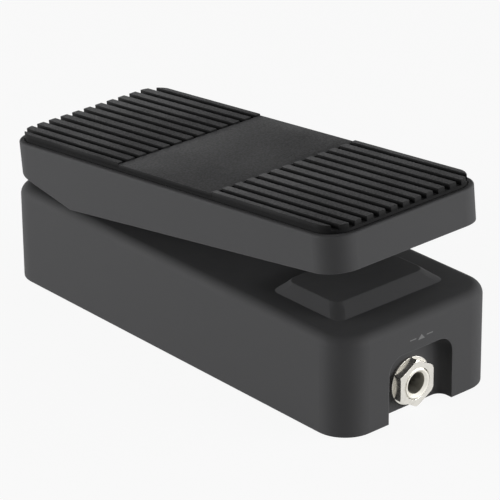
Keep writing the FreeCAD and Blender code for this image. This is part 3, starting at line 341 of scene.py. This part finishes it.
mat_rubber = rubber("mat_rubber", with_sheen=True)
foot_rubber = rubber("foot_rubber", with_sheen=False)
print("rubbers:", mat_rubber.name, foot_rubber.name)

# %% [markdown]
# ### Metals and plastics
# The socket's nut, washer and neck are bright nickel plate. The works inside are ground steel, zinc
# plate, brass and bronze, and the jack cases are black moulded plastic. All of them are the same
# pattern with other numbers. The metals also get brush lines, which change how rough the surface
# is along one direction.

# %% A metal with its brush lines
SMALL_EDGE_MM = 0.15


def metal(name, colour, tone, roughness, along=(1.0, 1.0, 1.0)):
    """A metal. Along squeezes the brush lines: a small number makes them long that way."""
    edge_highlight_and_wear = tuple(min(1.0, part * 1.15) for part in colour)
    material, tree, shader = finish(name, colour, tone, edge_highlight_and_wear, roughness, grain_scale=1.4, bump=0.03,
                                    edge_radius=SMALL_EDGE_MM, metallic=1.0)
    brushed = use_group(tree, brushing, Along_X=along[0], Along_Y=along[1], Along_Z=along[2])
    plain = shader.inputs["Roughness"].links[0].from_socket
    shift = ramp(tree, brushed.outputs["Lines"], 0.3, 0.7, -0.05, 0.07)
    tree.links.new(maths(tree, "ADD", plain, shift, clamped=True), shader.inputs["Roughness"])
    return material


nickel = metal("nickel_plate", (0.74, 0.72, 0.67), (0.66, 0.64, 0.59), (0.20, 0.32), (1.0, 0.05, 1.0))
neck_nickel = metal("turned_nickel", (0.78, 0.76, 0.70), (0.70, 0.68, 0.62), (0.36, 0.48), (1.0, 0.05, 1.0))
steel = metal("ground_steel", (0.50, 0.50, 0.51), (0.44, 0.44, 0.45), (0.28, 0.40), (0.05, 1.0, 1.0))
zinc = metal("zinc_plate", (0.46, 0.47, 0.48), (0.40, 0.41, 0.40), (0.34, 0.50))
black_zinc = metal("black_zinc", (0.075, 0.075, 0.080), (0.055, 0.055, 0.060), (0.34, 0.46))
brass = metal("brass", (0.70, 0.52, 0.24), (0.60, 0.43, 0.19), (0.24, 0.38), (1.0, 0.08, 1.0))
bronze = metal("sintered_bronze", (0.42, 0.28, 0.15), (0.35, 0.23, 0.12), (0.45, 0.58))
print("metals:", [item.name for item in (nickel, steel, zinc, black_zinc, brass, bronze)])

# %% Plastics and paint


def plastic(name, colour, roughness, bump=0.06, specular=0.5):
    """A plastic or a paint, a little paler in its drift and on its edges."""
    tone = tuple(part * 1.25 for part in colour)
    edge_highlight_and_wear = tuple(min(1.0, part * 1.8 + 0.01) for part in colour)
    material, _, _ = finish(name, colour, tone, edge_highlight_and_wear, roughness, bump=bump,
                            edge_radius=SMALL_EDGE_MM, specular=specular)
    return material


case_plastic = plastic("case_plastic", (0.012, 0.012, 0.013), (0.36, 0.46))
nylon = plastic("nylon", (0.62, 0.60, 0.54), (0.42, 0.55))
red_wire = plastic("red_wire", (0.38, 0.016, 0.012), (0.30, 0.42))
black_wire = plastic("black_wire", (0.012, 0.012, 0.012), (0.30, 0.42))
plate_paint = plastic("plate_paint", (0.022, 0.022, 0.023), (0.44, 0.60), bump=0.3, specular=0.4)
print("plastics:", [item.name for item in (case_plastic, nylon, red_wire, black_wire, plate_paint)])

# %% [markdown]
# ### Which node wears which finish
# A CAD node keeps its mesh and only gets a new material in its slots. One dictionary says it all,
# so a node that is missing from it shows up at once.

# %% Give every CAD node its finish
FINISH_OF = {
    "body_shell": housing_coat,
    "treadle_shell": treadle_coat,
    "treadle_mat": mat_rubber,
    "base_plate": plate_paint,
    "cover_screws": black_zinc,
    "rubber_feet": foot_rubber,
    "heel_stops": foot_rubber,
    "toe_stop": foot_rubber,
    "pivot_axle": steel,
    "axle_clips": steel,
    "friction_washers": nylon,
    "pivot_bushes": bronze,
    "gear_sector": zinc,
    "sector_screws": black_zinc,
    "pinion": brass,
    "pinion_grub_screw": black_zinc,
    "pot_shaft": steel,
    "pot_case": zinc,
    "pot_neck": nickel,
    "pot_washer": nickel,
    "pot_nut": nickel,
    "pot_terminals": brass,
    "pot_bracket": zinc,
    "bracket_screws": black_zinc,
    "signal_wires": red_wire,
    "ground_wire": black_wire,
}
for end in ("output", "input"):
    FINISH_OF[end + "_jack_case"] = case_plastic
    FINISH_OF[end + "_jack_contacts"] = brass
    for fitting in ("neck", "washer", "nut"):
        FINISH_OF[end + "_jack_" + fitting] = nickel

for name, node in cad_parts.items():
    for slot in node.material_slots:
        slot.material = FINISH_OF[name]
print("finished CAD nodes:", len(FINISH_OF))

# %% [markdown]
# ## Making meshes
# Pieces that repeat are grown by geometry nodes. The tree runs on an empty holder object, the
# evaluated result is kept as a plain mesh, and the holder goes. A bevel on the holder rounds the
# edges on the way, because moulded rubber and turned metal never have a perfectly sharp edge.

# %% Start and run a geometry tree
BEVEL_STEPS = 2


def geometry_tree(name, inputs):
    """An empty geometry tree with its sockets made, and its two end nodes."""
    tree = bpy.data.node_groups.new(name, "GeometryNodeTree")
    tree.interface.new_socket("Geometry", in_out="OUTPUT", socket_type="NodeSocketGeometry")
    for label, kind in inputs:
        tree.interface.new_socket(label, in_out="INPUT", socket_type="NodeSocket" + kind)
    return tree, add(tree, "NodeGroupInput"), add(tree, "NodeGroupOutput")


def close_tree(tree, shape, material, tree_out):
    """End a geometry tree in real faces with a material."""
    real = add(tree, "GeometryNodeRealizeInstances", {"Geometry": shape})
    covered = add(tree, "GeometryNodeSetMaterial", {
        "Geometry": real.outputs["Geometry"], "Material": material})
    tree.links.new(covered.outputs["Geometry"], tree_out.inputs["Geometry"])


def grow(name, tree, values, soften=0.0):
    """Run a geometry tree with named values, round its edges, and keep a plain mesh."""
    holder = bpy.data.objects.new(name, bpy.data.meshes.new(name))
    bpy.context.scene.collection.objects.link(holder)
    nodes = holder.modifiers.new("nodes", "NODES")
    nodes.node_group = tree
    for item in tree.interface.items_tree:
        if item.in_out == "INPUT":
            nodes[item.identifier] = values[item.name]
    if soften:
        bevel = holder.modifiers.new("bevel", "BEVEL")
        bevel.width = soften
        bevel.segments = BEVEL_STEPS
        bevel.limit_method = "ANGLE"
    bpy.context.view_layer.update()
    mesh = bpy.data.meshes.new_from_object(holder.evaluated_get(bpy.context.evaluated_depsgraph_get()))
    bpy.data.objects.remove(holder)
    return mesh


# %% Turn a profile, and join meshes into a finished piece
TURN_STEPS = 64
SEAM_GAP = 1e-7
SHARP_ANGLE = math.radians(35)


def turned(name, profile, closed=False):
    """A solid turned round Z from (radius, height) pairs. A closed profile makes a ring."""
    shape = bmesh.new()
    angles = [2 * math.pi * step / TURN_STEPS for step in range(TURN_STEPS)]
    rings = []
    for radius, height in profile:
        spots = [(radius * math.cos(angle), radius * math.sin(angle), height) for angle in angles]
        rings.append([shape.verts.new(spot) for spot in spots])
    pairs = list(zip(rings, rings[1:]))
    if closed:
        pairs.append((rings[-1], rings[0]))
    for low, high in pairs:
        for step in range(TURN_STEPS):
            after = (step + 1) % TURN_STEPS
            shape.faces.new((low[step], low[after], high[after], high[step]))
    bmesh.ops.remove_doubles(shape, verts=shape.verts, dist=SEAM_GAP)
    mesh = bpy.data.meshes.new(name)
    shape.to_mesh(mesh)
    shape.free()
    return mesh


def piece(name, meshes, place, material, body, stands_for):
    """Join meshes at their place, face them outwards, and hand the piece to the frame."""
    shape = bmesh.new()
    for mesh in meshes:
        shape.from_mesh(mesh)
    bmesh.ops.transform(shape, matrix=place, verts=shape.verts)
    bmesh.ops.recalc_face_normals(shape, faces=shape.faces)
    mesh = bpy.data.meshes.new(name)
    shape.to_mesh(mesh)
    shape.free()
    mesh.materials.clear()
    mesh.materials.append(material)
    for polygon in mesh.polygons:
        polygon.material_index = 0
    mesh.shade_smooth()
    mesh.set_sharp_from_angle(angle=SHARP_ANGLE)
    item = bpy.data.objects.new(name, mesh)
    bpy.context.scene.collection.objects.link(item)
    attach(item, body)
    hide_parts(stands_for)
    print(name, "faces:", len(mesh.polygons))


# %% [markdown]
# ## The ribbed mat
# The mat is one rubber moulding: a thin sheet, thirteen ribs that run along the pedal, and a plain
# band across the middle where the ribs stop. It could be one extruded profile, but the sheet has
# round corners and the outer ribs end on them. So each rib is a bar, a line of points carries the
# bars, and a last step pulls their ends back to the rounded outline.

# %% The mat's sizes, in the level treadle's own frame
MAT_HALF = 27.5 * MM
MAT_TOE = 68.75 * MM
MAT_HEEL = -73.0 * MM
MAT_CORNER = 7.0 * MM
MAT_PROUD = 2.5 * MM
MAT_SEAT = 0.6 * MM
BAND_TOE = 18.6 * MM
BAND_HEEL = -23.35 * MM
BAND_DROP = 0.5 * MM
RIB_PITCH = 4.5 * MM
RIB_COUNT = 13
RIB_WIDTH = 2.6 * MM
GROOVE_DEPTH = 1.6 * MM
RIB_ROOT = 0.2 * MM
RIB_ROUND = 0.28 * MM
GROOVE_FLOOR = MAT_PROUD - GROOVE_DEPTH

# %% The tree that grows a field of ribs
BAR_STATIONS = 9

ribs, ribs_in, ribs_out = geometry_tree("rib_field", [
    ("Pitch", "Float"), ("Count", "Int"), ("Width", "Float"), ("Bottom", "Float"), ("Top", "Float"),
    ("Start", "Float"), ("End", "Float"), ("Half", "Float"), ("Heel", "Float"), ("Toe", "Float"),
    ("Corner", "Float"), ("Material", "Material")])
given = ribs_in.outputs
steps_across = maths(ribs, "SUBTRACT", given["Count"], 1.0)
first_x = maths(ribs, "MULTIPLY", maths(ribs, "MULTIPLY", steps_across, given["Pitch"]), -0.5)
middle_y = maths(ribs, "MULTIPLY", maths(ribs, "ADD", given["Start"], given["End"]), 0.5)
middle_z = maths(ribs, "MULTIPLY", maths(ribs, "ADD", given["Bottom"], given["Top"]), 0.5)
first_point = add(ribs, "ShaderNodeCombineXYZ", {"X": first_x, "Y": middle_y, "Z": middle_z})
one_step = add(ribs, "ShaderNodeCombineXYZ", {"X": given["Pitch"]})
points = add(ribs, "GeometryNodeMeshLine", {
    "Count": given["Count"],
    "Start Location": first_point.outputs["Vector"],
    "Offset": one_step.outputs["Vector"],
})
bar_size = add(ribs, "ShaderNodeCombineXYZ", {
    "X": given["Width"],
    "Y": maths(ribs, "SUBTRACT", given["End"], given["Start"]),
    "Z": maths(ribs, "SUBTRACT", given["Top"], given["Bottom"]),
})
bar = add(ribs, "GeometryNodeMeshCube", {
    "Size": bar_size.outputs["Vector"], "Vertices X": BAR_STATIONS, "Vertices Y": 2, "Vertices Z": 2})
bars = add(ribs, "GeometryNodeInstanceOnPoints", {
    "Points": points.outputs["Mesh"], "Instance": bar.outputs["Mesh"]})
real_bars = add(ribs, "GeometryNodeRealizeInstances", {"Geometry": bars.outputs["Instances"]})

# %% Pull the ribs back to the rounded outline
WELD_GAP = 0.005 * MM

here = add(ribs, "ShaderNodeSeparateXYZ", {0: add(ribs, "GeometryNodeInputPosition").outputs["Position"]})
minus_half = maths(ribs, "MULTIPLY", given["Half"], -1.0)
held_x = maths(ribs, "MINIMUM", maths(ribs, "MAXIMUM", here.outputs["X"], minus_half), given["Half"])
straight = maths(ribs, "SUBTRACT", given["Half"], given["Corner"])
over = maths(ribs, "MAXIMUM", maths(ribs, "SUBTRACT", maths(ribs, "ABSOLUTE", held_x), straight), 0.0)
over_squared = maths(ribs, "MULTIPLY", over, over)
corner_squared = maths(ribs, "MULTIPLY", given["Corner"], given["Corner"])
left_squared = maths(ribs, "MAXIMUM", maths(ribs, "SUBTRACT", corner_squared, over_squared), 0.0)
pull = maths(ribs, "SUBTRACT", given["Corner"], maths(ribs, "SQRT", left_squared))
toe_end = maths(ribs, "SUBTRACT", given["Toe"], pull)
heel_end = maths(ribs, "ADD", given["Heel"], pull)
held_y = maths(ribs, "MINIMUM", maths(ribs, "MAXIMUM", here.outputs["Y"], heel_end), toe_end)
held = add(ribs, "ShaderNodeCombineXYZ", {"X": held_x, "Y": held_y, "Z": here.outputs["Z"]})
moved = add(ribs, "GeometryNodeSetPosition", {
    "Geometry": real_bars.outputs["Geometry"], "Position": held.outputs["Vector"]})
merged = add(ribs, "GeometryNodeMergeByDistance", {
    "Geometry": moved.outputs["Geometry"], "Distance": WELD_GAP})
close_tree(ribs, merged.outputs["Geometry"], given["Material"], ribs_out)
print("tree:", ribs.name, "nodes:", len(ribs.nodes))

# %% The sheet under the ribs, and the two rib fields and the band
SHEET_ARC_STEPS = 12


def rounded_sheet(name, half, heel, toe, corner, bottom, top):
    """A flat slab with four round corners."""
    shape = bmesh.new()
    outline = []
    for turn, (x, y) in enumerate(((half, toe), (-half, toe), (-half, heel), (half, heel))):
        centre = Vector((x - math.copysign(corner, x), y - math.copysign(corner, y), bottom))
        for step in range(SHEET_ARC_STEPS + 1):
            angle = math.pi / 2 * (turn + step / SHEET_ARC_STEPS)
            reach = Vector((math.cos(angle), math.sin(angle), 0.0))
            outline.append(shape.verts.new(centre + corner * reach))
    floor_face = shape.faces.new(outline)
    lifted = bmesh.ops.extrude_face_region(shape, geom=[floor_face], use_keep_orig=True)
    raised = [item for item in lifted["geom"] if isinstance(item, bmesh.types.BMVert)]
    bmesh.ops.translate(shape, verts=raised, vec=(0.0, 0.0, top - bottom))
    mesh = bpy.data.meshes.new(name)
    shape.to_mesh(mesh)
    shape.free()
    return mesh


field = {
    "Pitch": RIB_PITCH, "Count": RIB_COUNT, "Width": RIB_WIDTH,
    "Bottom": GROOVE_FLOOR - RIB_ROOT, "Top": MAT_PROUD, "Half": MAT_HALF,
    "Heel": MAT_HEEL, "Toe": MAT_TOE, "Corner": MAT_CORNER, "Material": mat_rubber,
}
heel_field = grow("heel_ribs", ribs, {**field, "Start": MAT_HEEL, "End": BAND_HEEL}, RIB_ROUND)
toe_field = grow("toe_ribs", ribs, {**field, "Start": BAND_TOE, "End": MAT_TOE}, RIB_ROUND)
band_bar = {
    "Count": 1, "Width": 2 * MAT_HALF, "Top": MAT_PROUD - BAND_DROP,
    "Start": BAND_HEEL, "End": BAND_TOE,
}
band = grow("band", ribs, {**field, **band_bar}, RIB_ROUND / 2)
sheet = rounded_sheet("sheet", MAT_HALF, MAT_HEEL, MAT_TOE, MAT_CORNER, -MAT_SEAT, GROOVE_FLOOR)
on_treadle = Matrix.Translation((0.0, 0.0, TREAD_LEVEL)) @ Matrix.Rotation(TREAD_TILT, 4, "X")
piece("mat", [sheet, heel_field, toe_field, band], on_treadle, mat_rubber, "treadle", "treadle_mat")

# %% [markdown]
# ## Rubber feet
# Four moulded feet sit in shallow seats under the base plate. Each is a disc with a rounded rim and
# a dished middle, so that it grips with a ring. One foot is turned from its profile, and a tree
# with the two spacings puts it on the four corners of a grid.

# %% One foot, set on four corners
FOOT_RADIUS = 5.0 * MM
FOOT_DISH = 0.15 * MM
foot_low, foot_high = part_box("rubber_feet")
foot_height = foot_high[2] - foot_low[2]
foot_profile = [
    (0.0, FOOT_DISH), (3.2 * MM, FOOT_DISH), (3.5 * MM, 0.0), (4.4 * MM, 0.0), (4.75 * MM, 0.08 * MM),
    (4.93 * MM, 0.25 * MM), (FOOT_RADIUS, 0.5 * MM), (FOOT_RADIUS, foot_height), (0.0, foot_height),
]
one_foot = bpy.data.objects.new("one_foot", turned("one_foot", foot_profile))

corners, corners_in, corners_out = geometry_tree("four_corners", [
    ("Across", "Float"), ("Along", "Float"), ("Piece", "Object"), ("Material", "Material")])
spots = add(corners, "GeometryNodeMeshGrid", {
    "Size X": corners_in.outputs["Across"],
    "Size Y": corners_in.outputs["Along"],
    "Vertices X": 2,
    "Vertices Y": 2,
})
source = add(corners, "GeometryNodeObjectInfo", {"Object": corners_in.outputs["Piece"]})
copies = add(corners, "GeometryNodeInstanceOnPoints", {
    "Points": spots.outputs["Mesh"], "Instance": source.outputs["Geometry"]})
close_tree(corners, copies.outputs["Instances"], corners_in.outputs["Material"], corners_out)

four_feet = grow("four_feet", corners, {
    "Across": foot_high[0] - foot_low[0] - 2 * FOOT_RADIUS,
    "Along": foot_high[1] - foot_low[1] - 2 * FOOT_RADIUS,
    "Piece": one_foot,
    "Material": foot_rubber,
})
piece("feet", [four_feet], Matrix.Identity(4), foot_rubber, "chassis", "rubber_feet")
bpy.data.objects.remove(one_foot)

# %% [markdown]
# ## Threaded necks
# Each socket is held by a nut on a threaded neck. The neck is turned from its profile, with a
# chamfer at the mouth where the plug goes in. The thread is a real helix: a spiral curve with a
# small round tooth swept along it. Its crests reach the neck's full radius and no further.

# %% The tree that grows a thread
THREAD_PITCH = 0.75 * MM
THREAD_TOOTH = 0.22 * MM
CORE_DROP = 0.3 * MM
MOUTH_CHAMFER = 0.7 * MM
THREAD_START = 3.3 * MM
THREAD_END = 5.8 * MM
STEPS_PER_TURN = 40
TOOTH_SIDES = 6

thread, thread_in, thread_out = geometry_tree("thread", [
    ("Radius", "Float"), ("Pitch", "Float"), ("Length", "Float"), ("Tooth", "Float"),
    ("Material", "Material")])
core = maths(thread, "SUBTRACT", thread_in.outputs["Radius"], thread_in.outputs["Tooth"])
spiral = add(thread, "GeometryNodeCurveSpiral", {
    "Resolution": STEPS_PER_TURN,
    "Rotations": maths(thread, "DIVIDE", thread_in.outputs["Length"], thread_in.outputs["Pitch"]),
    "Start Radius": core,
    "End Radius": core,
    "Height": thread_in.outputs["Length"],
})
tooth = add(thread, "GeometryNodeCurvePrimitiveCircle", {
    "Resolution": TOOTH_SIDES, "Radius": thread_in.outputs["Tooth"]})
swept = add(thread, "GeometryNodeCurveToMesh", {
    "Curve": spiral.outputs["Curve"], "Profile Curve": tooth.outputs["Curve"], "Fill Caps": True})
close_tree(thread, swept.outputs["Mesh"], thread_in.outputs["Material"], thread_out)

# %% A neck for each end
PLUG_RADIUS = 3.25 * MM


def threaded_neck(name, node, facing):
    """The neck of one socket. Facing is 1 at the toe end and -1 at the heel end."""
    low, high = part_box(node)
    radius = (high[0] - low[0]) / 2
    length = high[1] - low[1]
    root = radius - CORE_DROP
    profile = [
        (PLUG_RADIUS, 0.0), (radius, 0.0), (radius, THREAD_START), (root, THREAD_START + CORE_DROP),
        (root, length), (PLUG_RADIUS + MOUTH_CHAMFER, length),
        (PLUG_RADIUS, length - MOUTH_CHAMFER),
    ]
    tube = turned(name, profile, closed=True)
    helix = grow(name + "_thread", thread, {
        "Radius": radius, "Pitch": THREAD_PITCH, "Length": THREAD_END - THREAD_START,
        "Tooth": THREAD_TOOTH, "Material": neck_nickel,
    })
    helix.transform(Matrix.Translation((0.0, 0.0, THREAD_START)))
    inner_end = low[1] if facing > 0 else high[1]
    middle = (0.0, inner_end, (low[2] + high[2]) / 2)
    place = Matrix.Translation(middle) @ Matrix.Rotation(-facing * math.pi / 2, 4, "X")
    piece(name, [tube, helix], place, neck_nickel, "chassis", node)


threaded_neck("output_neck", "output_jack_neck", 1)
threaded_neck("input_neck", "input_jack_neck", -1)

# %% [markdown]
# ## Floor, light and camera
# The set is a white table in an even white room. The table's colour, not more light, makes the
# background white: towards the camera it glows, and a share of its own shading keeps the pedal's
# shadow. Two wide soft boxes stand left and right, a third hangs above, and nothing much comes from
# the camera's side, so the upright corner that faces it falls darker than the walls beside it.

# %% Floor and world
FLOOR_RADIUS = 4.0
FLOOR_SIDES = 96
TABLE_CLOUDS = 20.0
FLOOR_GLOW = 0.92
AMBIENT = 0.08


def seen_directly(tree):
    """One for rays that show a background: from the camera, off gloss, or through glass."""
    path = add(tree, "ShaderNodeLightPath").outputs
    glossy = maths(tree, "MAXIMUM", path["Is Glossy Ray"], path["Is Transmission Ray"])
    return maths(tree, "MAXIMUM", path["Is Camera Ray"], glossy)


floor_paint = bpy.data.materials.new("table_top")
floor_paint.use_nodes = True
tree = floor_paint.node_tree
tree.nodes.clear()
grain_of_table = add(tree, "ShaderNodeTexNoise", {"Scale": TABLE_CLOUDS})
white = mixed(tree, ramp(tree, grain_of_table.outputs["Fac"], 0.0, 1.0, 0.0, 0.3), grey(0.93), grey(0.90))
plain_white = add(tree, "ShaderNodeBsdfDiffuse", {"Color": white})
glow = add(tree, "ShaderNodeEmission", {"Color": grey(1.0)})
share = maths(tree, "MULTIPLY", seen_directly(tree), FLOOR_GLOW)
both = add(tree, "ShaderNodeMixShader", {0: share, 1: plain_white.outputs[0], 2: glow.outputs[0]})
add(tree, "ShaderNodeOutputMaterial", {"Surface": both.outputs[0]})

shape = bmesh.new()
bmesh.ops.create_circle(shape, cap_ends=True, segments=FLOOR_SIDES, radius=FLOOR_RADIUS)
floor_mesh = bpy.data.meshes.new("floor")
shape.to_mesh(floor_mesh)
shape.free()
floor_mesh.materials.append(floor_paint)
floor = bpy.data.objects.new("floor", floor_mesh)
bpy.context.scene.collection.objects.link(floor)

world = bpy.data.worlds.new("white_room")
world.use_nodes = True
bpy.context.scene.world = world
tree = world.node_tree
sky = tree.nodes["Background"]
sky.inputs["Color"].default_value = grey(1.0)
tree.links.new(ramp(tree, seen_directly(tree), 0.0, 1.0, AMBIENT, 1.0), sky.inputs["Strength"])
print("floor radius:", FLOOR_RADIUS, "ambient:", AMBIENT)

# %% Three soft boxes
PEDAL_MIDDLE = Vector((0.0, 0.0, 0.025))
SOFT_BOXES = {
    "left_box": (Vector((0.80, -0.62, 0.18)), 0.9, 0.34, 8.6),
    "right_box": (Vector((-0.62, 0.80, 0.18)), 0.9, 0.34, 8.4),
    "top_box": (Vector((-0.15, -0.15, 1.10)), 1.0, 1.0, 0.4),
}
for name, (spot, width, height, watts) in SOFT_BOXES.items():
    lamp = bpy.data.lights.new(name, "AREA")
    lamp.shape = "RECTANGLE"
    lamp.size = width
    lamp.size_y = height
    lamp.energy = watts
    holder = bpy.data.objects.new(name, lamp)
    holder.location = spot
    holder.rotation_euler = (PEDAL_MIDDLE - spot).to_track_quat("-Z", "Y").to_euler()
    bpy.context.scene.collection.objects.link(holder)
print("soft boxes:", list(SOFT_BOXES))

# %% Camera
AZIMUTH = math.radians(139.0)
ELEVATION = math.radians(25.07)
ROLL = math.radians(-0.55)
DISTANCE = 919.4 * MM
LENS_MM = 225.36
AIM_LEVEL = 24.24 * MM
AIM_RIGHT = 1.85 * MM
AIM_UP = 0.39 * MM

back = Vector((math.sin(AZIMUTH) * math.cos(ELEVATION), -math.cos(AZIMUTH) * math.cos(ELEVATION),
               math.sin(ELEVATION)))
level_right = Vector((math.cos(AZIMUTH), math.sin(AZIMUTH), 0.0))
level_up = back.cross(level_right)
aim = Vector((0.0, 0.0, AIM_LEVEL)) + AIM_RIGHT * level_right + AIM_UP * level_up
camera_right = math.cos(ROLL) * level_right + math.sin(ROLL) * level_up
camera_up = back.cross(camera_right)
lens = bpy.data.cameras.new("camera")
lens.lens = LENS_MM
lens.clip_start = 0.05
camera = bpy.data.objects.new("camera", lens)
turn = Matrix((camera_right, camera_up, back)).transposed().to_4x4()
camera.matrix_world = Matrix.Translation(aim + DISTANCE * back) @ turn
bpy.context.scene.collection.objects.link(camera)
bpy.context.scene.camera = camera
bpy.context.scene.view_settings.view_transform = "Standard"
print("camera at", [round(part, 4) for part in camera.location])
